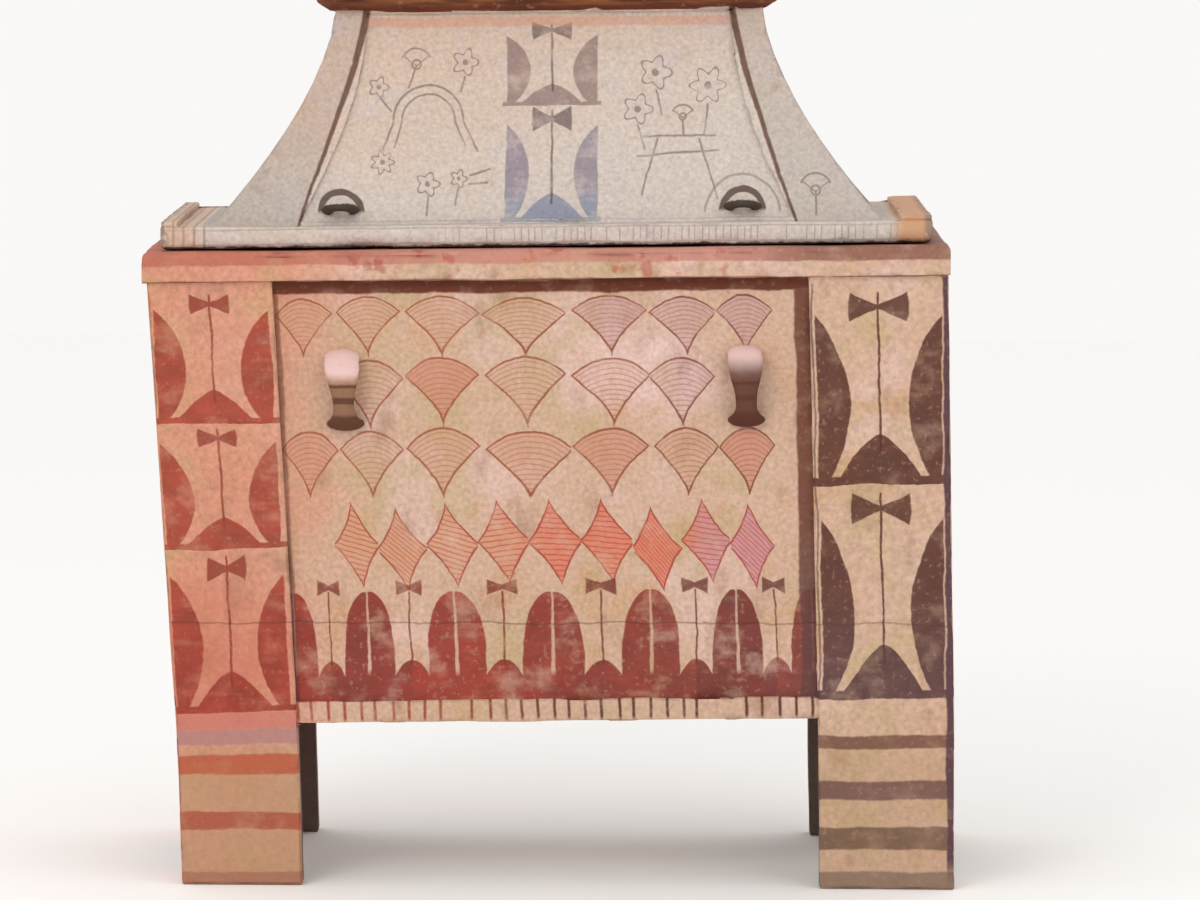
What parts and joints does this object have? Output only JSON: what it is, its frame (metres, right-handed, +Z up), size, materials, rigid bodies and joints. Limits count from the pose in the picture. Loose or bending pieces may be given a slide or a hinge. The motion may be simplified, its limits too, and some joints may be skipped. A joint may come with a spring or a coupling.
{
  "type": "clay larnax",
  "caption": "Painted terracotta chest on four board-like legs, hollow, with loop handles and a separate hollow roof-shaped lid that lifts off.",
  "frame": {"origin": "on the floor, under the middle of the object's box", "axes": "+Z up, +X along the chest to the viewer's right, the painted front faces -Y"},
  "size_m": [1.014, 0.4962, 1.1247],
  "materials": {
    "chest_clay": "matt fired clay, salmon to beige, with red and brown painted ornament",
    "lid_clay": "matt fired clay, pale grey cream, with brown cap and grey-brown line ornament"
  },
  "bodies": {
    "root": {"chest": "chest_clay", "lid": "lid_clay"}
  },
  "joints": []
}
